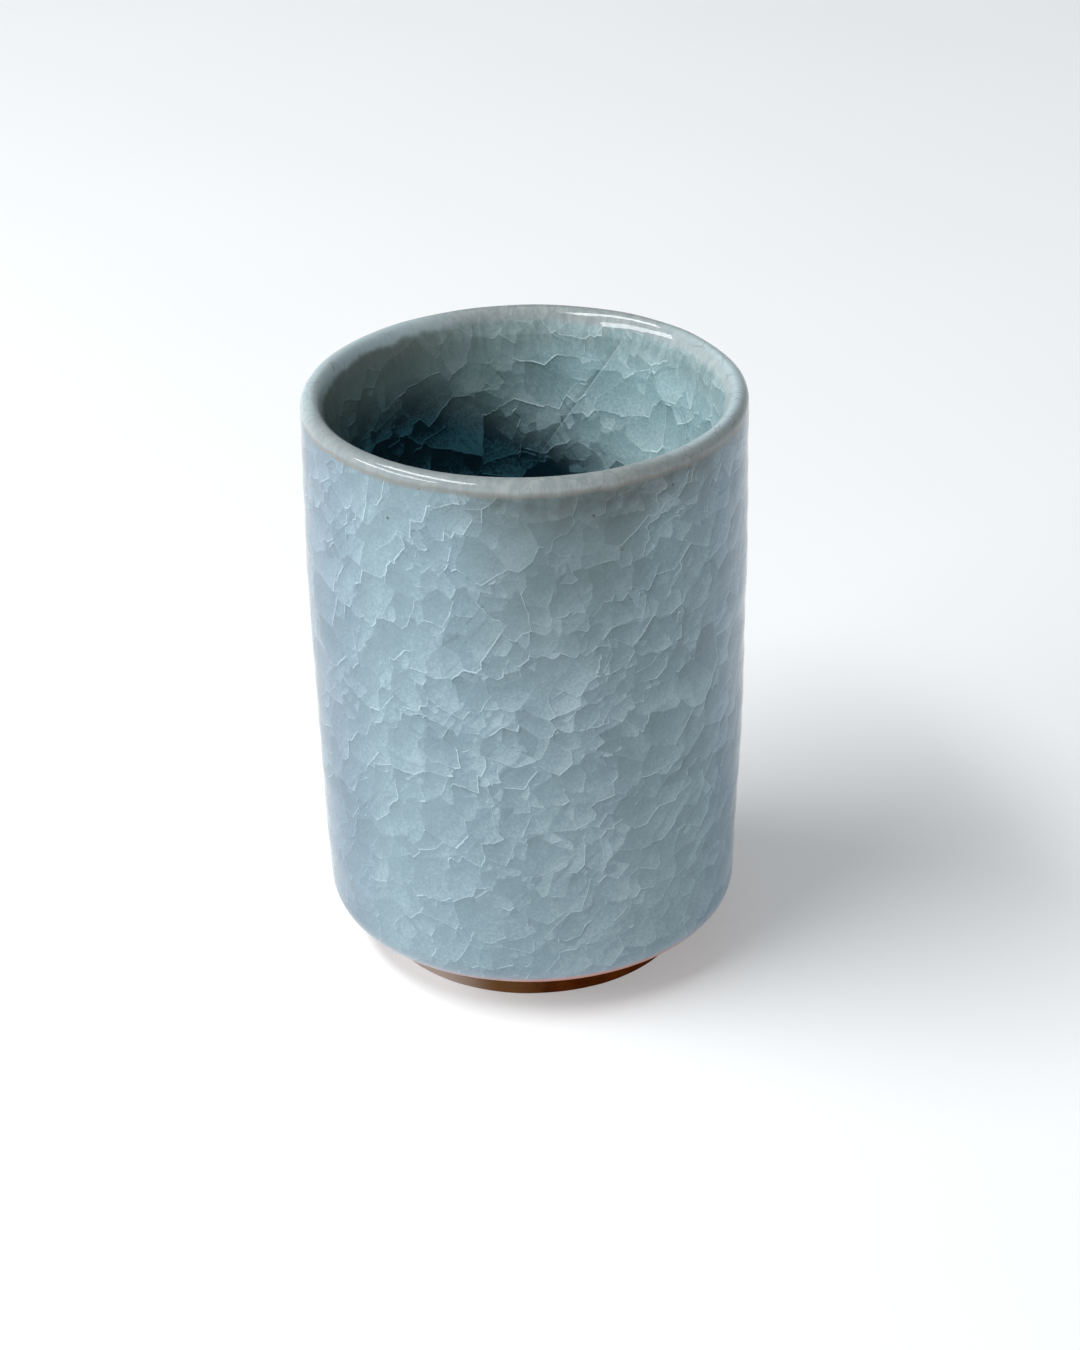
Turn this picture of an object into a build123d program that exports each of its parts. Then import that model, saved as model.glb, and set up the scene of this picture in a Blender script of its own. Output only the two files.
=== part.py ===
from build123d import *
from math import cos, radians, sin
import os

# A small celadon brush pot: a thrown stoneware cylinder on a turned foot, with a thick crackled glaze.
# Millimetres, +Z up. The origin is the centre of the foot, on the surface that the pot stands on.
# Every piece is turned about Z, so each is a half section in the XZ plane, with X as the radius.

# Driving dimensions of the finished, glazed pot
HEIGHT = 110.0
TOP_RADIUS = 40.0          # outside, just under the lip
BASE_RADIUS = 38.1         # outside, where the wall turns into the hip
MIDDLE_RADIUS = 39.75      # outside, half-way up: the wall swells a little beyond a straight taper
HIP_RADIUS = 6.0           # rounding between the wall and the underside
HIP_BOTTOM = 6.25          # lowest point that the hip's rounding would reach
GLAZE_EDGE_ANGLE = 38.0    # where the glaze stops on the hip, in degrees round from straight down

MOUTH_RADIUS = 34.3        # inside, where the wall begins to open out towards the lip
WELL_RADIUS = 34.2         # inside, where the wall turns into the floor
WELL_CORNER = 9.0          # rounding between the inner wall and the floor
FLOOR_TOP = 9.5            # surface of the floor at its edge
LIP_INSIDE = 3.7           # how far the inner side of the lip opens out
LIP_DEPTH = 12.0           # how far below the top it begins to: a quarter of an ellipse, steepest at the bottom
LIP_OUTSIDE = TOP_RADIUS - MOUTH_RADIUS - LIP_INSIDE

FOOT_RADIUS = 28.4
FOOT_WIDTH = 5.0
FOOT_ROUNDING = 0.5        # turned edges of the ring where it meets the table
FOOT_RECESS = 3.0          # depth of the hollow inside the ring
FOOT_HOLE = FOOT_RADIUS - FOOT_WIDTH

# Thickness of the glaze
GLAZE_OUTSIDE = 0.7
GLAZE_LIP = 0.35
GLAZE_INSIDE = 0.6
GLAZE_POOL = 1.0           # at the middle of the floor
GLAZE_UNDERSIDE = 0.4
UNDERSIDE_MARGIN = 0.6     # bare clay between the glaze in the recess and the foot ring

RIM_BAND = 4.5             # height of the lip's thin glaze below the top
STEP_HEIGHT = HIP_BOTTOM + GLAZE_OUTSIDE   # bare clay under the hip, where the foot ring begins
HIP_TOP = HIP_BOTTOM + HIP_RADIUS


def on_hip(radius):
    """The point on the hip's rounding where the glaze stops, at this radius from the rounding's centre."""
    turn = radians(GLAZE_EDGE_ANGLE)
    return (BASE_RADIUS - HIP_RADIUS + radius * sin(turn), HIP_TOP - radius * cos(turn))


def skin(outside, lip, inside, pool):
    """The pot's surface from the glaze's lower edge, up over the lip and down to the middle of the floor.

    The four depths say how far below the finished surface it runs. With all of them 0 it is the finished
    surface itself, and with the glaze's thicknesses it is the clay under the glaze.
    """
    hip = HIP_RADIUS - outside
    hip_centre = (BASE_RADIUS - HIP_RADIUS, HIP_TOP)
    top_centre = TOP_RADIUS - LIP_OUTSIDE
    wall_foot = (BASE_RADIUS - outside, HIP_TOP)
    wall_top = (TOP_RADIUS - lip, HEIGHT - LIP_OUTSIDE)
    wall_middle = (MIDDLE_RADIUS - outside, (HIP_TOP + HEIGHT - LIP_OUTSIDE) / 2)
    mouth = (MOUTH_RADIUS + lip, HEIGHT - LIP_DEPTH)
    well_foot = (WELL_RADIUS + inside, FLOOR_TOP + WELL_CORNER)
    floor_edge = (WELL_RADIUS - WELL_CORNER, FLOOR_TOP - inside)
    corner = WELL_CORNER + inside
    return [
        CenterArc(hip_centre, hip, GLAZE_EDGE_ANGLE - 90, 90 - GLAZE_EDGE_ANGLE),
        ThreePointArc(wall_foot, wall_middle, wall_top),
        CenterArc((top_centre, HEIGHT - LIP_OUTSIDE), LIP_OUTSIDE - lip, 0, 90),
        EllipticalCenterArc(
            (top_centre, HEIGHT - LIP_DEPTH), LIP_INSIDE - lip, LIP_DEPTH - lip, start_angle=90, arc_size=90
        ),
        Line(mouth, well_foot),
        CenterArc((floor_edge[0], well_foot[1]), corner, 0, -90),
        Line(floor_edge, (0, FLOOR_TOP - pool)),
    ]


def half_section(curves):
    """The face inside a closed chain of curves, which are drawn as radius and height."""
    edges = [edge for curve in curves for edge in curve.edges()]
    return make_face(Plane.XZ * Wire(edges, sequenced=True))


def turned(section):
    """The solid that a half section sweeps about the pot's axis."""
    return revolve(section, Axis.Z)


def clay_skin():
    return skin(GLAZE_OUTSIDE, GLAZE_LIP, GLAZE_INSIDE, GLAZE_POOL)


def clay_body():
    """Wall, hip and floor. The floor's plug reaches down inside the foot ring to the recess."""
    outline = [
        (0, FLOOR_TOP - GLAZE_POOL),
        (0, FOOT_RECESS),
        (FOOT_HOLE, FOOT_RECESS),
        (FOOT_HOLE, STEP_HEIGHT),
        (BASE_RADIUS - HIP_RADIUS, STEP_HEIGHT),
    ]
    underside = CenterArc(
        (BASE_RADIUS - HIP_RADIUS, HIP_TOP), HIP_RADIUS - GLAZE_OUTSIDE, -90, GLAZE_EDGE_ANGLE
    )
    return turned(half_section(clay_skin() + [Polyline(*outline), underside]))


def foot_ring():
    """The turned foot, with its lower edges rounded so that they don't chip."""
    low, high = FOOT_HOLE, FOOT_RADIUS
    soft = FOOT_ROUNDING
    return turned(half_section([
        CenterArc((high - soft, soft), soft, -90, 90),
        Polyline((high, soft), (high, STEP_HEIGHT), (low, STEP_HEIGHT), (low, soft)),
        CenterArc((low + soft, soft), soft, 180, 90),
        Line((low + soft, 0), (high - soft, 0)),
    ]))


def glaze_section():
    """All the glaze above the foot as one half section, from its rolled lower edge to the floor's middle."""
    turn = radians(GLAZE_EDGE_ANGLE)
    half = GLAZE_OUTSIDE / 2
    middle = on_hip(HIP_RADIUS - half)
    roll = (middle[0] - half * cos(turn), middle[1] - half * sin(turn))
    lower_edge = ThreePointArc(on_hip(HIP_RADIUS - GLAZE_OUTSIDE), roll, on_hip(HIP_RADIUS))
    middle_of_floor = Line((0, FLOOR_TOP), (0, FLOOR_TOP - GLAZE_POOL))
    return half_section(skin(0, 0, 0, 0) + clay_skin() + [lower_edge, middle_of_floor])


def glaze_parts():
    """The glaze, parted where it changes at the lip. Below that, the wall keeps its two sides apart."""
    coat = glaze_section()
    band = Plane.XZ * Pos(0, HEIGHT) * Rectangle(3 * TOP_RADIUS, 2 * RIM_BAND)
    inside, outside = (coat - band).faces().sort_by(Axis.X)
    sections = {"rim_glaze": coat & band, "outer_glaze": outside, "inner_glaze": inside}
    return {name: turned(section) for name, section in sections.items()}


def underside_glaze():
    """The thin coat on the ceiling of the foot's recess, with a rounded edge."""
    reach = FOOT_HOLE - UNDERSIDE_MARGIN
    low = FOOT_RECESS - GLAZE_UNDERSIDE
    return turned(half_section([
        Polyline((reach, FOOT_RECESS), (0, FOOT_RECESS), (0, low), (reach - GLAZE_UNDERSIDE, low)),
        CenterArc((reach - GLAZE_UNDERSIDE, FOOT_RECESS), GLAZE_UNDERSIDE, -90, 90),
    ]))


nodes = {
    "clay_body": clay_body(),
    "foot_ring": foot_ring(),
    "underside_glaze": underside_glaze(),
    **glaze_parts(),
}

os.makedirs("parts", exist_ok=True)
for name, shape in nodes.items():
    export_step(shape, f"parts/{name}.step")
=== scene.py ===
"""Looks for a small celadon brush pot: a thrown stoneware cylinder under a thick crackled glaze.

Every piece is turned about Z and replaces one CAD node. Sizes are in millimetres, in the row's frame, and
become metres when a mesh is made. Materials measure in millimetres too. Lights and the camera are in metres.
"""
import math

import bpy
import numpy as np
from mathutils import Matrix, Vector, noise


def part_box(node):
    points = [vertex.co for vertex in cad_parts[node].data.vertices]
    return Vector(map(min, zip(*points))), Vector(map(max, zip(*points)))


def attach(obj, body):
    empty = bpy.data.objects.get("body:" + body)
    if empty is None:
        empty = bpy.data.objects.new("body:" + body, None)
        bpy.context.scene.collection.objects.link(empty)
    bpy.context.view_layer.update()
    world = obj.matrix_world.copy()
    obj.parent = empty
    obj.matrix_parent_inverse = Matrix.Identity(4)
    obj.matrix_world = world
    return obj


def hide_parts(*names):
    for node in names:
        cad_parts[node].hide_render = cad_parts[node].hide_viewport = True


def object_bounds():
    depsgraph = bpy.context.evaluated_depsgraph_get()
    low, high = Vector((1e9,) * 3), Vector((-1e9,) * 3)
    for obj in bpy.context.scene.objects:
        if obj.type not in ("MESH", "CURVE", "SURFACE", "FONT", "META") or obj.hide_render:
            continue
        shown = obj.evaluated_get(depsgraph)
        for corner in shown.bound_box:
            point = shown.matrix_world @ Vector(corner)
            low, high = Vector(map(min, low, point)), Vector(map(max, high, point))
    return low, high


MM = 0.001


def in_mm(corner):
    return tuple(value / MM for value in corner)


# ---------------------------------------------------------------------------------------------------------
# Sizes, read from the frame where a node's box gives them
# ---------------------------------------------------------------------------------------------------------
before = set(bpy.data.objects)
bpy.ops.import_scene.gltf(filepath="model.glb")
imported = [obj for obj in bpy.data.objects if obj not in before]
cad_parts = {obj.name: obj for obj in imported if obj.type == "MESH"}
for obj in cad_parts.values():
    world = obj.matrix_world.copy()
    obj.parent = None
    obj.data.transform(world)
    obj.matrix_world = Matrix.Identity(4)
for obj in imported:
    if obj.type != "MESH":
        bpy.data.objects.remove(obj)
cad_low, cad_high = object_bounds()
HEIGHT = cad_high.z / MM
FOOT_RADIUS, _, STEP_HEIGHT = in_mm(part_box("foot_ring")[1])
CLAY_TOP = in_mm(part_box("clay_body")[1])[2]
SEAM_HEIGHT = in_mm(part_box("rim_glaze")[0])[2]
RECESS_RADIUS, _, RECESS_TOP = in_mm(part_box("underside_glaze")[1])
RECESS_LOW = in_mm(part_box("underside_glaze")[0])[2]
CLAY_UNDER_POOL = in_mm(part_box("inner_glaze")[0])[2]

TOP_RADIUS = 40.0        # outside, just under the lip
BASE_RADIUS = 38.1       # outside, where the wall turns into the hip
WALL_SWELL = 0.7         # how far the wall swells beyond a straight taper
HIP_RADIUS = 6.0
HIP_BOTTOM = 6.25
HIP_TOP = HIP_BOTTOM + HIP_RADIUS
GLAZE_EDGE_ANGLE = 38.0  # where the glaze stops on the hip, in degrees round from straight down
MOUTH_RADIUS = 34.3      # inside, where the wall begins to open out towards the lip
WELL_RADIUS = 34.2       # inside, where the wall turns into the floor
WELL_CORNER = 9.0
FLOOR_TOP = 9.5
LIP_INSIDE = 3.7         # how far the inner side of the lip opens out
LIP_DEPTH = 12.0         # how far below the top it begins to
LIP_OUTSIDE = TOP_RADIUS - MOUTH_RADIUS - LIP_INSIDE
FOOT_WIDTH = 5.0
FOOT_HOLE = FOOT_RADIUS - FOOT_WIDTH

# Thickness of the glaze
GLAZE_OUTSIDE = 0.7
GLAZE_LIP = HEIGHT - CLAY_TOP
GLAZE_INSIDE = 0.6

SEGMENTS = 320           # steps round the pot, the same in every piece so that they meet
ROW = 0.8                # height of a mesh row on the walls
CREST = 0.8              # height of the clay's rounded crest, where its inner side ends
GAP = 0.02               # between the clay and the foot ring, so that their faces don't lie in each other


# ---------------------------------------------------------------------------------------------------------
# Outlines. Each section is a closed loop of (radius, height) points at an azimuth, though some are the same
# all round.
# ---------------------------------------------------------------------------------------------------------
def arc(centre, radius, start, end, steps, tall=None):
    """Points on an arc, angles in degrees, both ends included. With `tall` it is an ellipse, that high."""
    turns = np.radians(np.linspace(start, end, steps + 1))
    tall = tall or radius
    return [(centre[0] + radius * math.cos(t), centre[1] + tall * math.sin(t)) for t in turns]


def run(start, end, steps):
    """Points on a straight line, both ends included."""
    return [tuple(point) for point in np.linspace(start, end, steps + 1)]


def wall_radius(height):
    """Radius of the finished wall between the hip and the lip."""
    part = (height - HIP_TOP) / (HEIGHT - LIP_OUTSIDE - HIP_TOP)
    return BASE_RADIUS + (TOP_RADIUS - BASE_RADIUS) * part + 4 * WALL_SWELL * part * (1 - part)


def glaze_depth(height):
    """Thickness of the outside glaze, which thins out under the lip."""
    part = min(1.0, max(0.0, (HEIGHT - LIP_OUTSIDE - height) / 40.0))
    return GLAZE_LIP + (GLAZE_OUTSIDE - GLAZE_LIP) * part ** 0.5


def well_radius(height):
    """Radius of the finished inner wall above its corner. It opens out along an ellipse towards the lip."""
    low, high = FLOOR_TOP + WELL_CORNER, HEIGHT - LIP_DEPTH
    part = min(1.0, (height - low) / (high - low))
    rise = max(0.0, height - high) / LIP_DEPTH
    return WELL_RADIUS + (MOUTH_RADIUS - WELL_RADIUS) * part + LIP_INSIDE * (1 - math.sqrt(1 - rise ** 2))


def well_glaze_depth(height):
    """Thickness of the inside glaze, which thins out towards the lip."""
    part = min(1.0, max(0.0, (height - HEIGHT + LIP_DEPTH) / LIP_DEPTH))
    return GLAZE_INSIDE + (GLAZE_LIP - GLAZE_INSIDE) * part


def heights(low, high, spacing):
    return np.linspace(low, high, max(2, round((high - low) / spacing) + 1))


def well_backing(low, high, spacing):
    """Points up the clay behind the inside glaze."""
    return [(well_radius(z) + well_glaze_depth(z), z) for z in heights(low, high, spacing)]


def edge_angle(azimuth):
    """Where the glaze stops on the hip: a wavy line, lower on the left and higher on the right."""
    lean = 7.0 * math.cos(azimuth - math.radians(20))
    around = Vector((math.cos(azimuth), math.sin(azimuth), 0.0))
    return GLAZE_EDGE_ANGLE + lean + 5.0 * noise.noise(around * 2.2) + 2.0 * noise.noise(around * 7.0)


def wall_glaze_section(azimuth):
    hip_centre = (BASE_RADIUS - HIP_RADIUS, HIP_TOP)
    clay_hip = HIP_RADIUS - GLAZE_OUTSIDE
    start = edge_angle(azimuth) - 90
    turn = math.radians(start)
    middle = HIP_RADIUS - GLAZE_OUTSIDE / 2
    roll_centre = (hip_centre[0] + middle * math.cos(turn), hip_centre[1] + middle * math.sin(turn))
    roll = arc(roll_centre, GLAZE_OUTSIDE / 2, start - 180, start, 8)
    outer = arc(hip_centre, HIP_RADIUS, start, 0, 16)
    outer += [(wall_radius(z), z) for z in heights(HIP_TOP, SEAM_HEIGHT, ROW)[1:]]
    inner = [(wall_radius(z) - glaze_depth(z), z) for z in heights(HIP_TOP, SEAM_HEIGHT, 3.0)]
    inner = arc(hip_centre, clay_hip, start, 0, 8)[:-1] + inner
    return roll[:-1] + outer + inner[:0:-1]


def lip_section(azimuth):
    centre = TOP_RADIUS - LIP_OUTSIDE
    outside, inside = (centre, HEIGHT - LIP_OUTSIDE), (centre, HEIGHT - LIP_DEPTH)
    seam = 180 - math.degrees(math.asin((SEAM_HEIGHT - inside[1]) / LIP_DEPTH))
    outer = [(wall_radius(z), z) for z in heights(SEAM_HEIGHT, outside[1], 0.25)[:-1]]
    shell = outer + arc(outside, LIP_OUTSIDE, 0, 90, 16)
    shell += arc(inside, LIP_INSIDE, 90, seam, 24, LIP_DEPTH)[1:]
    backing = well_backing(SEAM_HEIGHT, HEIGHT - CREST, 0.5)
    backing += arc(outside, LIP_OUTSIDE - GLAZE_LIP, 90, 0, 8)
    return shell + backing + [(wall_radius(SEAM_HEIGHT) - glaze_depth(SEAM_HEIGHT), SEAM_HEIGHT)]


def well_section(azimuth):
    corner_height = FLOOR_TOP + WELL_CORNER
    corner = (WELL_RADIUS - WELL_CORNER, corner_height)
    wall = [(well_radius(z), z) for z in heights(corner_height, SEAM_HEIGHT, ROW)]
    floor = run((corner[0], FLOOR_TOP), (0.0, FLOOR_TOP), 20)
    under = run((0.0, CLAY_UNDER_POOL), (corner[0], FLOOR_TOP - GLAZE_INSIDE), 5)
    backing = arc(corner, WELL_CORNER + GLAZE_INSIDE, -90, 0, 8)
    backing += well_backing(corner_height, SEAM_HEIGHT, 2.0)[1:]
    return wall[::-1] + arc(corner, WELL_CORNER, 0, -90, 20)[1:] + floor[1:] + under + backing[1:]


def turning_mark(place):
    """The fine grooves that a turning tool leaves in leather-hard clay."""
    return 0.035 * math.sin(place / 0.16 + 2.5 * math.sin(place / 0.9)) + 0.02 * math.sin(place / 0.07)


def clay_section(azimuth):
    hip_centre = (BASE_RADIUS - HIP_RADIUS, HIP_TOP)
    bare = run((FOOT_RADIUS + GAP, STEP_HEIGHT), (hip_centre[0], STEP_HEIGHT), 24)
    bare = [(r, z + turning_mark(r)) for r, z in bare]
    hip = arc(hip_centre, HIP_RADIUS - GLAZE_OUTSIDE, -90, 0, 40)
    outer = [(wall_radius(z) - glaze_depth(z), z) for z in heights(HIP_TOP, HEIGHT - LIP_OUTSIDE, 3.0)]
    centre = TOP_RADIUS - LIP_OUTSIDE
    lip = arc((centre, HEIGHT - LIP_OUTSIDE), LIP_OUTSIDE - GLAZE_LIP, 0, 90, 8)
    corner_height = FLOOR_TOP + WELL_CORNER
    inner = well_backing(corner_height, HEIGHT - CREST, 1.5)
    corner = (WELL_RADIUS - WELL_CORNER, corner_height)
    floor = arc(corner, WELL_CORNER + GLAZE_INSIDE, 0, -90, 8)[1:] + [(0.0, CLAY_UNDER_POOL)]
    plug = run((0.0, RECESS_TOP), (FOOT_HOLE - GAP, RECESS_TOP), 40)
    return plug + [(FOOT_HOLE - GAP, STEP_HEIGHT)] + bare + hip[1:-1] + outer + lip + inner[::-1] + floor


def foot_section(azimuth):
    soft = 0.5 + 0.25 * noise.noise(Vector((math.cos(azimuth), math.sin(azimuth), 3.0)) * 4.0)
    outside = run((FOOT_RADIUS, soft), (FOOT_RADIUS, STEP_HEIGHT), 40)
    outside = [(r + turning_mark(z) - 0.25 * math.sin(math.pi * z / STEP_HEIGHT), z) for r, z in outside]
    inside = run((FOOT_HOLE, STEP_HEIGHT), (FOOT_HOLE, soft), 12)
    base = run((FOOT_HOLE + soft, 0.0), (FOOT_RADIUS - soft, 0.0), 14)
    inner_edge = arc((FOOT_HOLE + soft, soft), soft, 180, 270, 5)
    outer_edge = arc((FOOT_RADIUS - soft, soft), soft, 270, 360, 5)
    return outside + inside + inner_edge[1:] + base[1:] + outer_edge[1:-1]


def recess_section(azimuth):
    wobble = 0.35 * noise.noise(Vector((math.cos(azimuth), math.sin(azimuth), 8.0)) * 3.0)
    reach = RECESS_RADIUS + wobble - 0.35
    thick = RECESS_TOP - RECESS_LOW
    ceiling = run((0.0, RECESS_LOW), (reach - thick, RECESS_LOW), 28)
    return ceiling + arc((reach - thick, RECESS_TOP), thick, -90, 0, 6)[1:] + [(0.0, RECESS_TOP)]


# ---------------------------------------------------------------------------------------------------------
# Meshes
# ---------------------------------------------------------------------------------------------------------
SHARP_ANGLE = 42         # degrees between two faces from which their edge is shaded sharp


def thrown(radius, azimuth, height):
    """Where the potter's hands left a point of the true shape: slow bulges, rings and an uneven lip."""
    place = Vector((radius * math.cos(azimuth), radius * math.sin(azimuth), height))
    free = min(1.0, max(0.0, (height - 4.0) / 16.0))
    bulge = 0.30 * noise.noise(place / 30.0) + 0.13 * noise.noise(place / 9.0)
    spiral = 0.035 * math.sin(height / 1.25 + azimuth)
    near_lip = min(1.0, max(0.0, (height - HEIGHT + 14.0) / 12.0))
    around = Vector((math.cos(azimuth), math.sin(azimuth), 5.0))
    rise = 0.16 * noise.noise(around * 1.3) + 0.05 * noise.noise(around * 4.0)
    return radius + free * (bulge + spiral) * min(1.0, radius / 20.0), height + near_lip * rise


def turned_piece(name, section):
    """A closed mesh from a section. A point on the axis becomes one vertex, with a fan of triangles."""
    outline = section(0.0)
    on_axis = [radius < 1e-6 for radius, _ in outline]
    first, points = [], []
    for at_axis, (_, height) in zip(on_axis, outline):
        first.append(len(points))
        points += [(0.0, 0.0, height)] * (1 if at_axis else SEGMENTS)
    for step in range(SEGMENTS):
        azimuth = 2 * math.pi * step / SEGMENTS
        for start, at_axis, (radius, height) in zip(first, on_axis, section(azimuth)):
            if at_axis:
                continue
            radius, height = thrown(radius, azimuth, height)
            points[start + step] = (radius * math.cos(azimuth), radius * math.sin(azimuth), height)
    faces = []
    for here in range(len(outline)):
        there = (here + 1) % len(outline)
        for step in range(SEGMENTS):
            after = (step + 1) % SEGMENTS
            low = [first[here]] if on_axis[here] else [first[here] + step, first[here] + after]
            high = [first[there]] if on_axis[there] else [first[there] + after, first[there] + step]
            if len(low) + len(high) > 2:
                faces.append(low + high)
    mesh = bpy.data.meshes.new(name)
    mesh.from_pydata([tuple(value * MM for value in point) for point in points], [], faces)
    mesh.validate()
    mesh.polygons.foreach_set("use_smooth", [True] * len(mesh.polygons))
    mesh.set_sharp_from_angle(angle=math.radians(SHARP_ANGLE))
    piece = bpy.data.objects.new(name, mesh)
    bpy.context.scene.collection.objects.link(piece)
    return piece


# ---------------------------------------------------------------------------------------------------------
# Material nodes
# ---------------------------------------------------------------------------------------------------------
class Nodes:
    """The node tree of a material or world, built by one short call per node.

    Values are numbers, vectors, colours or sockets.
    """

    def __init__(self, owner):
        owner.use_nodes = True
        self.owner = owner
        self.tree = owner.node_tree
        self.tree.nodes.clear()

    def add(self, kind, inputs=(), **settings):
        node = self.tree.nodes.new("ShaderNode" + kind)
        for key, value in settings.items():
            setattr(node, key, value)
        for key, value in dict(inputs).items():
            self.feed(node.inputs[key], value)
        return node

    def feed(self, socket, value):
        """Links a socket to an input, or sets it. A single number fills all three parts of a vector."""
        if isinstance(value, bpy.types.NodeSocket):
            self.tree.links.new(value, socket)
        elif socket.type == "VECTOR" and isinstance(value, float):
            socket.default_value = (value, value, value)
        else:
            socket.default_value = value

    def math(self, operation, *values, clamp=False):
        return self.add("Math", enumerate(values), operation=operation, use_clamp=clamp).outputs[0]

    def total(self, *values):
        result = values[0]
        for value in values[1:]:
            result = self.math("ADD", result, value)
        return result

    def product(self, *values):
        result = values[0]
        for value in values[1:]:
            result = self.math("MULTIPLY", result, value)
        return result

    def vector(self, operation, *values, output=0):
        return self.add("VectorMath", enumerate(values), operation=operation).outputs[output]

    def parts(self, vector):
        return self.add("SeparateXYZ", {0: vector}).outputs

    def mix(self, factor, below, above):
        return self.add("Mix", {0: factor, 2: below, 3: above}, data_type="FLOAT").outputs[0]

    def tint(self, factor, below, above, mode="MIX"):
        node = self.add("Mix", {0: factor, 6: below, 7: above}, data_type="RGBA", blend_type=mode)
        return node.outputs[2]

    def step(self, value, start, end, low=0.0, high=1.0):
        """Goes smoothly from low to high as value goes from start to end."""
        inputs = {"Value": value, "From Min": start, "From Max": end, "To Min": low, "To Max": high}
        return self.add("MapRange", inputs, interpolation_type="SMOOTHSTEP").outputs[0]

    def noise(self, place, size, detail=2.0, roughness=0.5, output="Fac"):
        inputs = {"Vector": place, "Scale": 1.0 / size, "Detail": detail, "Roughness": roughness}
        return self.add("TexNoise", inputs).outputs[output]

    def cells(self, place, feature="F1"):
        inputs = {"Vector": place, "Scale": 1.0, "Randomness": 0.85}
        return self.add("TexVoronoi", inputs, feature=feature).outputs

    def ramp(self, factor, stops):
        """A colour ramp from a list of (position, colour)."""
        node = self.add("ValToRGB", {0: factor})
        elements = node.color_ramp.elements
        while len(elements) < len(stops):
            elements.new(0.5)
        for element, (position, colour) in zip(elements, stops):
            element.position = position
            element.color = colour
        return node.outputs[0]

    def bump(self, height, distance, strength=1.0):
        inputs = {"Height": height, "Distance": distance, "Strength": strength}
        return self.add("Bump", inputs).outputs[0]

    def surface(self, **inputs):
        """The glossy or bare surface shader, with socket names written with _ for the spaces."""
        shader = self.add("BsdfPrincipled", {key.replace("_", " "): value for key, value in inputs.items()})
        self.add("OutputMaterial", {"Surface": shader.outputs[0]})
        return self.owner


def material_nodes(name):
    return Nodes(bpy.data.materials.new(name))


def rgb(*levels):
    """A colour from screen levels of 0 to 255, as the linear values that shaders use."""
    return tuple(((v / 255 + 0.055) / 1.055) ** 2.4 if v > 10 else v / 255 / 12.92 for v in levels) + (1.0,)


def place_in_mm(g):
    here = g.add("TexCoord").outputs["Object"]
    return g.vector("MULTIPLY", here, 1 / MM)


def from_axis(g, place):
    """The level vector from the pot's axis to a place."""
    return g.vector("MULTIPLY", place, (1.0, 1.0, 0.0))


def radius_at(g, place):
    return g.vector("LENGTH", from_axis(g, place), output=1)


def facing(g, place, azimuth, spread):
    """1 on the side of the pot towards an azimuth, falling to 0 at `spread` degrees away from it."""
    outward = g.vector("NORMALIZE", from_axis(g, place))
    toward = (math.cos(math.radians(azimuth)), math.sin(math.radians(azimuth)), 0.0)
    close = g.vector("DOT_PRODUCT", outward, toward, output=1)
    return g.step(close, math.cos(math.radians(spread)), 1.0)


# ---------------------------------------------------------------------------------------------------------
# Crackle: overlapping plates inside the glaze
# ---------------------------------------------------------------------------------------------------------
# (plate size in mm, how flat the plates are, how far up the layer lies, where its pattern starts)
PLATE_LAYERS = [
    (7.4, 1.00, 0.14, (3.1, 7.7, 1.9)),
    (6.3, 1.10, 0.05, (11.4, 2.3, 5.2)),
    (5.1, 1.00, 0.02, (8.2, 5.5, 0.4)),
    (3.8, 0.95, -0.08, (6.3, 9.1, 8.8)),
    (2.6, 1.00, -0.26, (1.7, 4.4, 6.6)),
]


def plates(g, place, lean):
    """Height and lightness of the top plate at a place, and the lightness of all the plates there together.

    Chance sets each plate's height and lightness. It lies a little higher on the side that it leans to, and
    is painted a little lighter there, a painted glow beside its lit edge.
    """
    height, light, together = -1.0, 0.0, 0.0
    for size, squash, lift, start in PLATE_LAYERS:
        cells = g.vector("MULTIPLY_ADD", place, (1 / size, 1 / size, squash / size), start)
        plate = g.cells(cells)
        chance = g.parts(plate["Color"])
        along = g.vector("DOT_PRODUCT", g.vector("SUBTRACT", cells, plate["Position"]), lean, output=1)
        this_height = g.total(chance[0], g.product(along, 0.25), lift)
        # A random tone per plate, plus a painted glow that lightens each plate towards the edge that it leans
        # to.
        this_light = g.total(g.product(g.math("SUBTRACT", chance[1], 0.5), 0.23), g.product(along, 0.28))
        light = g.mix(g.math("GREATER_THAN", this_height, height), light, this_light)
        height = g.math("MAXIMUM", height, this_height)
        together = g.math("ADD", together, this_light)
    return height, light, together


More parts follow.
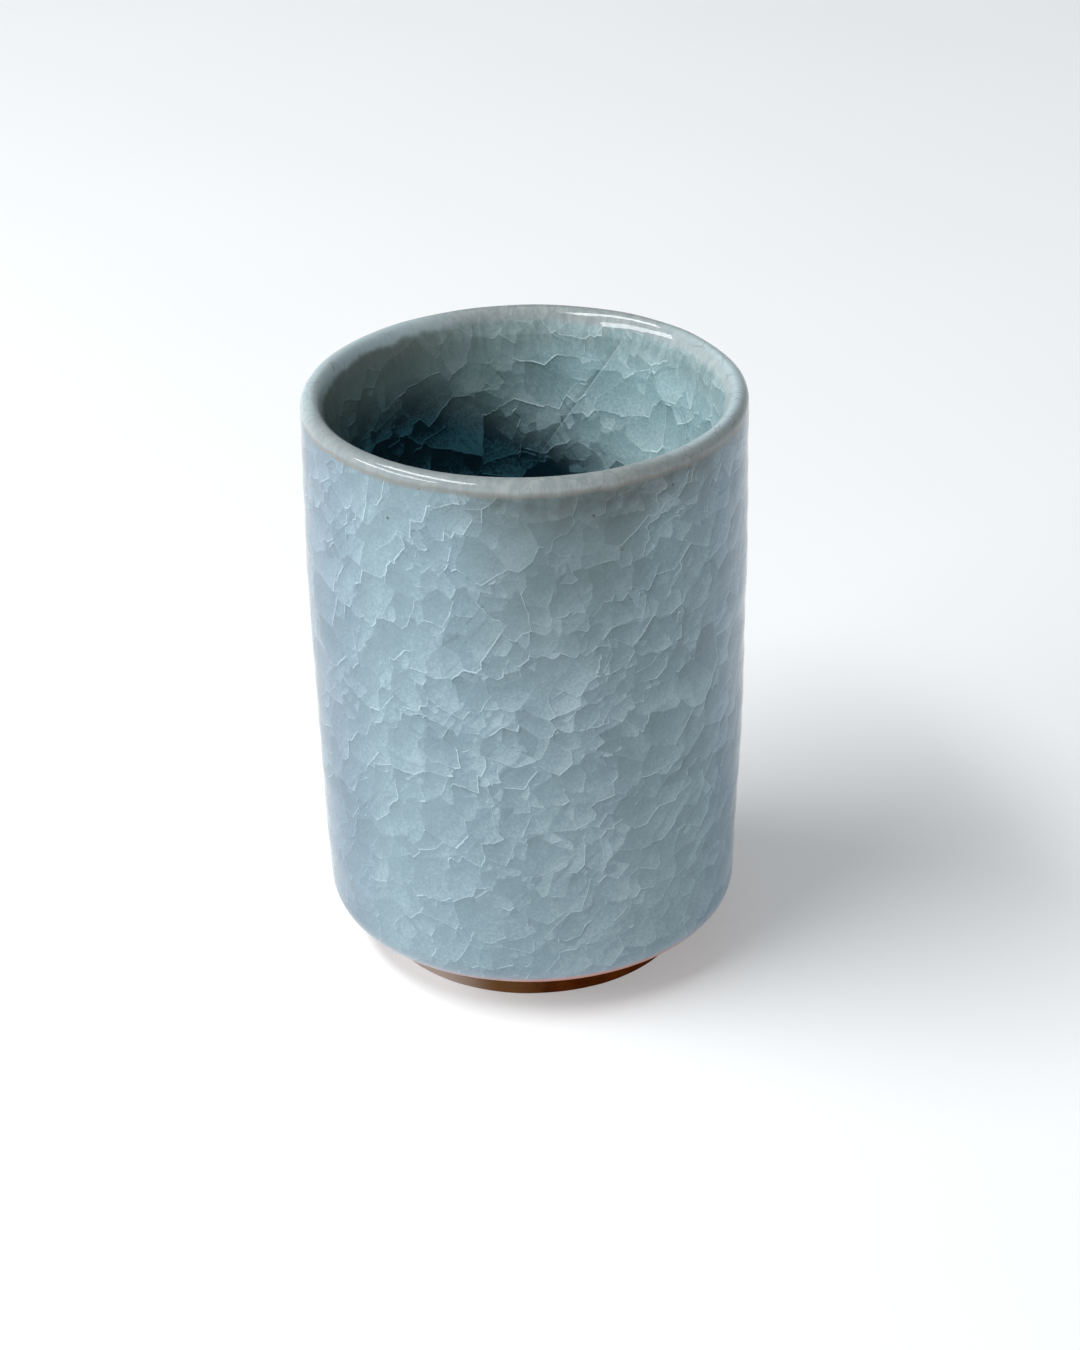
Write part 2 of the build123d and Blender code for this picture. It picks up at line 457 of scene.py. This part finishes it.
def crackle(g, place, sideways):
    """Lightness of the crackled glaze, and the height of its top plates.

    The plates overlap, and the ones under the top one show faintly. `sideways` says how far they lean round
    the pot. They all lean down as well. The edge that a plate leans to gets a painted highlight, a fine
    bright line, and the plate beyond it gets painted shade.
    """
    swirl = g.vector("SUBTRACT", g.noise(place, 17.0, 1.0, output="Color"), 0.5)
    ragged = g.vector("SUBTRACT", g.noise(place, 2.6, 3.0, 0.6, output="Color"), 0.5)
    bent = g.vector("MULTIPLY_ADD", swirl, 5.5, place)
    bent = g.vector("MULTIPLY_ADD", ragged, 0.8, bent)
    around = g.vector("NORMALIZE", g.vector("CROSS_PRODUCT", (0.0, 0.0, 1.0), place))
    lean = g.vector("NORMALIZE", g.vector("MULTIPLY_ADD", around, sideways, (0.0, 0.0, -1.0)))
    height, light, together = plates(g, bent, lean)

    def height_at(offset):
        """Height of the top plate at a distance in mm along the lean."""
        return plates(g, g.vector("MULTIPLY_ADD", lean, offset, bent), lean)[0]

    fade = g.step(g.noise(place, 6.0, 3.0, 0.6), 0.34, 0.6, 0.25)
    drop = g.math("SUBTRACT", height, height_at(0.25))
    # Painted highlight: a fine bright line just inside the edge that a higher plate leans to.
    painted_highlight_line = g.product(g.step(drop, 0.06, 0.42), fade)
    # Painted shade: a dark line at the foot of a higher plate just ahead.
    painted_shade_behind = g.step(drop, -0.05, -0.40)
    # Painted shadow: `close` and `painted_shadow_wide` darken a plate just beyond the edge of a higher plate
    # behind it.
    close = g.step(g.math("SUBTRACT", height_at(-0.35), height), 0.05, 0.4)
    painted_shadow_wide = g.step(g.math("SUBTRACT", height_at(-1.1), height), 0.05, 0.5)
    light = g.total(light, g.product(together, 0.16), g.product(painted_highlight_line, 0.86), g.product(painted_shade_behind, -0.32))
    return g.total(light, g.product(close, -0.17), g.product(painted_shadow_wide, -0.10)), height


def strokes(g, place):
    """Fine slanting marks in the glaze, along helices that climb to the right on the outside."""
    turn = g.math("MULTIPLY", g.parts(place)[2], -0.022)
    twisted = g.add("VectorRotate", {"Vector": place, "Angle": turn}, rotation_type="Z_AXIS").outputs[0]
    marks = g.noise(g.vector("MULTIPLY", twisted, (1.0, 1.0, 0.14)), 1.3, 2.0, 0.6)
    return g.product(g.step(marks, 0.56, 0.68), g.step(g.noise(place, 12.0, 2.0), 0.46, 0.6))


def glaze_tone(g, place, sideways, scale):
    """Tone of crackled glaze, from 0 for its deepest to 1, with the lightness and height of its plates.

    The crackle is fainter low on the pot, on the left and behind on the right.
    """
    light, height = crackle(g, g.vector("MULTIPLY", place, scale), sideways)
    cloud = g.noise(place, 26.0, 2.0)
    mottle = g.noise(place, 0.5, 3.0, 0.7)
    contrast = g.product(
        g.step(g.parts(place)[2], HEIGHT - 90.0, HEIGHT - 55.0, 0.48, 0.85),
        g.math("SUBTRACT", 1.1, g.product(facing(g, place, -155.0, 75.0), 0.4)),
        g.math("SUBTRACT", 1.0, g.product(facing(g, place, 38.0, 55.0), 0.35)),
    )
    tone = g.total(
        0.5,
        g.product(light, contrast),
        g.product(strokes(g, place), -0.14),
        g.product(g.math("SUBTRACT", cloud, 0.5), 0.3),
        g.product(g.math("SUBTRACT", mottle, 0.5), 0.62),
    )
    return tone, light, height


def long_crack(g, place, colour, through, normal, low, high):
    """One long crack between two heights, with painted shade on one side of a plane and a painted highlight
    line on the other.
    """
    bent = g.vector("MULTIPLY_ADD", g.noise(place, 9.0, 2.0, output="Color"), 1.2, place)
    away = g.vector("SUBTRACT", bent, through)
    across = g.vector("DOT_PRODUCT", away, Vector(normal).normalized(), output=1)
    z = g.parts(place)[2]
    ends = g.product(g.step(z, low - 1.5, low + 1.5), g.step(z, high + 1.5, high - 1.5))
    # Painted shade on one side of the crack, and a painted highlight line on the other.
    shade = g.product(g.step(across, -1.6, 0.0), g.math("LESS_THAN", across, 0.0), ends)
    painted_highlight_line = g.product(g.step(across, 0.35, 0.1), g.math("GREATER_THAN", across, 0.0), ends)
    colour = g.tint(g.product(shade, 0.35), colour, rgb(70, 92, 98), "MULTIPLY")
    return g.tint(g.product(painted_highlight_line, 0.4), colour, rgb(196, 214, 214))


WALL_TONES = [(0.0, rgb(94, 113, 119)), (0.5, rgb(124, 145, 152)), (1.0, rgb(170, 189, 195))]
WELL_TONES = [(0.0, rgb(90, 116, 119)), (0.5, rgb(145, 172, 176)), (1.0, rgb(208, 228, 230))]
# Colours of the painted shadow low in the well.
WELL_SHADOW_TONES = [(0.25, rgb(16, 40, 50)), (0.5, rgb(20, 50, 62)), (0.8, rgb(72, 124, 138))]
WALL_PLATES = (0.95, 1.1)       # how far they lean round the pot, and how fine they are
WELL_PLATES = (-0.25, 0.95)


def lip_hairlines(g, place):
    """Fine cracks that cross the lip."""
    across = g.cells(g.vector("MULTIPLY", place, (0.36, 0.36, 0.10)), "DISTANCE_TO_EDGE")["Distance"]
    return g.product(g.step(across, 0.045, 0.0), g.step(g.noise(place, 5.0), 0.42, 0.6))


def pale_lip(g, place, streak, hairline):
    """Grey-beige: bluer on the right, pale at the back left, darkened by painted shade on the front left, and
    browner outside at the front right.
    """
    radius = radius_at(g, place)
    bluish = g.step(radius, TOP_RADIUS - 3.6, TOP_RADIUS - 2.0, 0.3, 0.9)
    shoulder = g.step(radius, TOP_RADIUS - 1.9, TOP_RADIUS - 0.7)
    colour = g.tint(g.step(streak, 0.35, 0.7), rgb(136, 143, 142), rgb(156, 160, 157))
    colour = g.tint(g.product(facing(g, place, -5.0, 62.0), bluish), colour, rgb(184, 200, 203))
    colour = g.tint(g.product(facing(g, place, 154.0, 52.0), 0.9), colour, rgb(178, 192, 194))
    # Painted shade: darker on the front left.
    colour = g.tint(g.product(facing(g, place, -130.0, 40.0), 0.5), colour, rgb(120, 127, 127))
    colour = g.tint(g.product(hairline, 0.55), colour, rgb(120, 128, 126))
    return g.tint(g.product(shoulder, facing(g, place, -34.0, 42.0), 0.5), colour, rgb(118, 112, 102))


def dull_lip(g, place, streak, hairline):
    """The duller band inside the lip, with painted olive shade on the left."""
    colour = g.tint(g.step(streak, 0.4, 0.62), rgb(104, 118, 114), rgb(140, 151, 147))
    colour = g.tint(g.product(hairline, 0.7), colour, rgb(84, 98, 95))
    # Painted shade: dark olive on the left, where the inside of the lip lies in shade.
    return g.tint(g.product(facing(g, place, 158.0, 62.0), 0.75), colour, rgb(84, 84, 68))


def lip_blend(g, place, colour):
    """Blends a glaze into the thin glaze of the lip, with stained and pitted glaze just below it outside."""
    z = g.parts(place)[2]
    radius = radius_at(g, place)
    ripple = g.product(g.math("SUBTRACT", g.noise(place, 3.5, 3.0, 0.6), 0.5), 1.2)
    level = g.math("ADD", z, ripple)
    reach = g.math("ADD", radius, ripple)
    outer_side = g.step(radius, TOP_RADIUS - 3.0, TOP_RADIUS - 2.0)
    inner_side = g.math("SUBTRACT", 1.0, outer_side)
    streak = g.noise(g.vector("MULTIPLY", place, (1.0, 1.0, 0.15)), 1.6, 3.0, 0.7)
    hairline = lip_hairlines(g, place)

    patchy = g.step(g.noise(place, 5.0, 3.0), 0.3, 0.62, 0.35, 1.0)
    stain = g.product(g.math("ADD", 0.15, g.product(facing(g, place, -68.0, 46.0), 0.85)), patchy)
    stained = g.product(g.step(level, HEIGHT - 13.0, HEIGHT - 2.8), stain, outer_side)
    colour = g.tint(stained, colour, (0.50, 0.45, 0.40, 1.0), "MULTIPLY")

    inside = g.product(g.step(level, HEIGHT - 12.0, HEIGHT - 3.0), inner_side, 0.55)
    colour = g.tint(inside, colour, dull_lip(g, place, streak, hairline))

    pit = g.cells(g.vector("MULTIPLY", place, 0.2))["Distance"]
    pitted = g.product(g.step(pit, 0.07, 0.04), g.step(z, HEIGHT - 18.0, HEIGHT - 12.0), outer_side)
    colour = g.tint(g.product(pitted, 0.8), colour, rgb(64, 58, 50))

    near_top = g.step(level, HEIGHT - 3.0, HEIGHT - 1.8)
    on_lip = g.product(near_top, g.step(reach, TOP_RADIUS - 4.7, TOP_RADIUS - 3.8))
    colour = g.tint(on_lip, colour, pale_lip(g, place, streak, hairline))

    worn = g.product(g.step(level, HEIGHT - 3.2, HEIGHT - 2.4), g.step(level, HEIGHT - 1.5, HEIGHT - 2.1))
    return g.tint(g.product(worn, outer_side, 0.45), colour, rgb(112, 104, 92))


def glazed(g, colour, height):
    """A clear glossy coat over the crackled colour. The coat is faintly uneven, and dips along the plates."""
    place = place_in_mm(g)
    uneven = g.total(g.product(g.noise(place, 2.6, 2.0), 0.035), g.product(height, 0.004))
    return g.surface(
        Base_Color=colour,
        Roughness=0.5,
        Specular_IOR_Level=0.1,
        Coat_Weight=0.82,
        Coat_Roughness=0.02,
        Coat_IOR=1.45,
        Coat_Normal=g.bump(uneven, MM),
    )


def wall_colour(g, place, tone):
    """Darker below the lip at the front, lilac low down, and flashed with iron at its lower edge. A painted
    reflection makes the right side bluer, and painted shade darkens the left side.
    """
    colour = g.ramp(tone, WALL_TONES)
    z = g.parts(place)[2]
    # `thick` marks a darker band below the lip at the front.
    thick = g.product(facing(g, place, -80.0, 28.0), g.step(z, HEIGHT - 46.0, HEIGHT - 14.0))
    colour = g.tint(g.product(thick, 0.6), colour, rgb(84, 99, 99))
    outward = g.vector("NORMALIZE", from_axis(g, place))
    lean = g.vector("DOT_PRODUCT", outward, (0.42, 0.15, 0.0), output=1)
    over_edge = g.math("SUBTRACT", z, g.math("ADD", lean, g.noise(place, 5.0, 2.0)))
    colour = g.tint(g.step(over_edge, 11.5, 7.5, 0.0, 0.35), colour, rgb(146, 152, 176))
    flash = g.math("ADD", 0.25, g.product(facing(g, place, -58.0, 60.0), 0.6))
    colour = g.tint(g.product(g.step(over_edge, 8.9, 7.7), flash), colour, rgb(196, 104, 66))
    # Painted reflection: a bluish tint on the right side.
    colour = g.tint(facing(g, place, 0.0, 48.0), colour, (0.90, 1.0, 1.14, 1.0), "MULTIPLY")
    # Painted shade: the left side darkened, standing in for less light there.
    return g.tint(facing(g, place, -174.0, 45.0), colour, (0.62, 0.66, 0.74, 1.0), "MULTIPLY")


def well_colour(g, place, tone, light):
    """Bluer than the wall, with painted olive shade on the left, a painted shadow low down that is almost
    black, and a long crack at the back.
    """
    colour = g.ramp(tone, WELL_TONES)
    colour = long_crack(g, place, colour, (19.7, 28.1, 108.8), (0.783, -0.283, -0.551), 78.0, 106.0)
    z = g.parts(place)[2]
    shallow = g.step(z, HEIGHT - 26.0, HEIGHT - 8.0)
    # Painted shade: olive-dark on the left, stronger just below the lip.
    painted_olive_shade = g.product(facing(g, place, 160.0, 92.0), g.math("ADD", 0.4, g.product(shallow, 0.3)))
    colour = g.tint(painted_olive_shade, colour, rgb(92, 96, 78))
    # Painted shadow: almost black below a tilted plane that reaches higher on the left, where the well lies
    # out of the light.
    across = g.math("MAXIMUM", g.parts(place)[0], -21.0)
    level = g.total(z, g.product(across, 0.50), g.product(light, 4.5))
    painted_well_shadow = g.step(level, HEIGHT - 17.0, HEIGHT - 30.0)
    return g.tint(painted_well_shadow, colour, g.ramp(tone, WELL_SHADOW_TONES))


def wall_material():
    g = material_nodes("crackled_celadon")
    place = place_in_mm(g)
    tone, _, height = glaze_tone(g, place, *WALL_PLATES)
    return glazed(g, lip_blend(g, place, wall_colour(g, place, tone)), height)


def well_material():
    g = material_nodes("deep_celadon")
    place = place_in_mm(g)
    tone, light, height = glaze_tone(g, place, *WELL_PLATES)
    return glazed(g, lip_blend(g, place, well_colour(g, place, tone, light)), height)


def lip_material():
    """Outside it matches the wall and inside the well, so that the thin glaze fades into both."""
    g = material_nodes("thin_lip_glaze")
    place = place_in_mm(g)
    outside = g.math("GREATER_THAN", radius_at(g, place), TOP_RADIUS - LIP_OUTSIDE)
    sideways, scale = (g.mix(outside, inner, outer) for inner, outer in zip(WELL_PLATES, WALL_PLATES))
    tone, light, height = glaze_tone(g, place, sideways, scale)
    colour = g.tint(outside, well_colour(g, place, tone, light), wall_colour(g, place, tone))
    return glazed(g, lip_blend(g, place, colour), height)


def clay_material(name, dark, light):
    """Bare iron-brown clay, grainy, with an ochre patch, and a painted pale sheen on the front left."""
    g = material_nodes(name)
    place = place_in_mm(g)
    grain = g.noise(place, 0.35, 4.0, 0.7)
    patch = g.noise(place, 6.0, 3.0)
    colour = g.tint(g.step(patch, 0.3, 0.7), rgb(*dark), rgb(*light))
    colour = g.tint(g.product(facing(g, place, -112.0, 30.0), 0.65), colour, rgb(124, 90, 52))
    # Painted sheen: paler on the front left.
    colour = g.tint(g.product(facing(g, place, -140.0, 36.0), 0.8), colour, rgb(170, 154, 144))
    colour = g.tint(g.step(grain, 0.62, 0.75, 0.0, 0.6), colour, rgb(52, 26, 10))
    return g.surface(
        Base_Color=colour,
        Roughness=g.step(grain, 0.3, 0.7, 0.62, 0.9),
        Specular_IOR_Level=0.04,
        Normal=g.bump(grain, 0.00008),
    )


def recess_material():
    g = material_nodes("recess_celadon")
    tone, _, height = glaze_tone(g, place_in_mm(g), *WALL_PLATES)
    return glazed(g, g.ramp(tone, WALL_TONES), height)


# ---------------------------------------------------------------------------------------------------------
# The pot
# ---------------------------------------------------------------------------------------------------------
# (name, section, material, the CAD node that it replaces, material slot)
PIECES = [
    ("crackled_wall_glaze", wall_glaze_section, wall_material, "outer_glaze", "crackle_glaze"),
    ("lip_glaze", lip_section, lip_material, "rim_glaze", "lip_glaze"),
    ("well_glaze", well_section, well_material, "inner_glaze", "well_glaze"),
    ("thrown_clay_body", clay_section, lambda: clay_material("stoneware", (74, 24, 2), (104, 48, 8)),
     "clay_body", "stoneware"),
    ("turned_foot", foot_section, lambda: clay_material("bare_foot", (70, 22, 2), (104, 50, 8)),
     "foot_ring", "bare_foot"),
    ("recess_glaze", recess_section, recess_material, "underside_glaze", "recess_glaze"),
]


def make_pot():
    for name, section, material, node, slot in PIECES:
        piece = turned_piece(name, section)
        piece.data.materials.append(material())
        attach(piece, "root")
        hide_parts(node)


# ---------------------------------------------------------------------------------------------------------
# Stage, light and camera
# ---------------------------------------------------------------------------------------------------------
FLOOR_RADIUS = 8.0       # metres
FLOOR_CORNERS = 96
WINDOW_AIM = Vector((0.0, 0.0, 0.06))
WINDOW_DISTANCE = 1.3
WINDOW_WHITE = (0.95, 0.98, 1.0)


def make_floor():
    """A round sheet of pale paper. It glows a little, and more so far away, where the lights don't reach."""
    mesh = bpy.data.meshes.new("floor")
    turns = np.linspace(0, 2 * math.pi, FLOOR_CORNERS + 1)[:-1]
    ring = [(FLOOR_RADIUS * math.cos(t), FLOOR_RADIUS * math.sin(t), 0.0) for t in turns]
    mesh.from_pydata(ring, [], [list(range(FLOOR_CORNERS))])
    floor = bpy.data.objects.new("floor", mesh)
    bpy.context.scene.collection.objects.link(floor)
    g = material_nodes("pale_paper")
    place = place_in_mm(g)
    shade = g.noise(place, 140.0, 2.0)
    colour = g.tint(shade, rgb(214, 213, 212), rgb(220, 219, 218))
    away = g.vector("LENGTH", place, output=1)
    paper = g.surface(
        Base_Color=colour,
        Roughness=0.9,
        Specular_IOR_Level=0.1,
        Emission_Color=(1.0, 1.0, 1.0, 1.0),
        Emission_Strength=g.step(away, 600.0, 2600.0, 0.30, 0.72),
    )
    floor.data.materials.append(paper)


def window(name, toward, size, power):
    """A rectangular light that faces the middle of the pot from a direction."""
    lamp = bpy.data.lights.new(name, "AREA")
    lamp.shape = "RECTANGLE"
    lamp.size, lamp.size_y = size
    lamp.energy = power
    lamp.color = WINDOW_WHITE
    light = bpy.data.objects.new(name, lamp)
    light.location = WINDOW_AIM + Vector(toward).normalized() * WINDOW_DISTANCE
    light.rotation_mode = "QUATERNION"
    light.rotation_quaternion = (WINDOW_AIM - light.location).to_track_quat("-Z", "Y")
    bpy.context.scene.collection.objects.link(light)


def make_world():
    """A room brightest to the front left and dark overhead. The camera sees it as pale as the floor."""
    g = Nodes(bpy.data.worlds.new("room"))
    direction = g.vector("NORMALIZE", g.add("TexCoord").outputs["Generated"])
    toward = g.vector("DOT_PRODUCT", direction, Vector((-0.72, -0.69, 0.0)), output=1)
    room = g.tint(g.step(toward, -0.5, 1.0), (0.36, 0.40, 0.43, 1.0), (1.06, 1.20, 1.34, 1.0))
    overhead = g.step(g.parts(direction)[2], 0.15, 0.75, 0.0, 0.88)
    room = g.tint(overhead, room, (0.0, 0.0, 0.0, 1.0))
    seen = g.add("LightPath").outputs["Is Camera Ray"]
    colour = g.tint(seen, room, (0.93, 0.94, 0.95, 1.0))
    background = g.add("Background", {"Color": colour, "Strength": 1.0})
    g.add("OutputWorld", {"Surface": background.outputs[0]})
    bpy.context.scene.world = g.owner


def make_lights():
    window("window_upper", (-0.55, -0.18, 0.95), (1.1, 0.24), 14.0)
    window("window_lower", (-0.76, -0.25, 0.46), (1.1, 0.22), 10.0)


def make_camera():
    elevation, distance, roll = math.radians(28.07), 0.68, math.radians(1.09)
    centre = Vector((0.0, 0.0, HEIGHT * MM / 2))
    back = Vector((0.0, -math.cos(elevation), math.sin(elevation)))
    data = bpy.data.cameras.new("camera")
    data.sensor_width = 36.0
    data.lens = 98.0
    data.shift_x, data.shift_y = 0.0079, -0.011
    camera = bpy.data.objects.new("camera", data)
    camera.location = centre + back * distance
    camera.rotation_mode = "QUATERNION"
    level = (-back).to_track_quat("-Z", "Y")
    camera.rotation_quaternion = level @ Matrix.Rotation(-roll, 3, "Z").to_quaternion()
    bpy.context.scene.collection.objects.link(camera)
    bpy.context.scene.camera = camera
    bpy.context.scene.view_settings.view_transform = "Standard"


make_pot()
make_floor()
make_world()
make_lights()
make_camera()
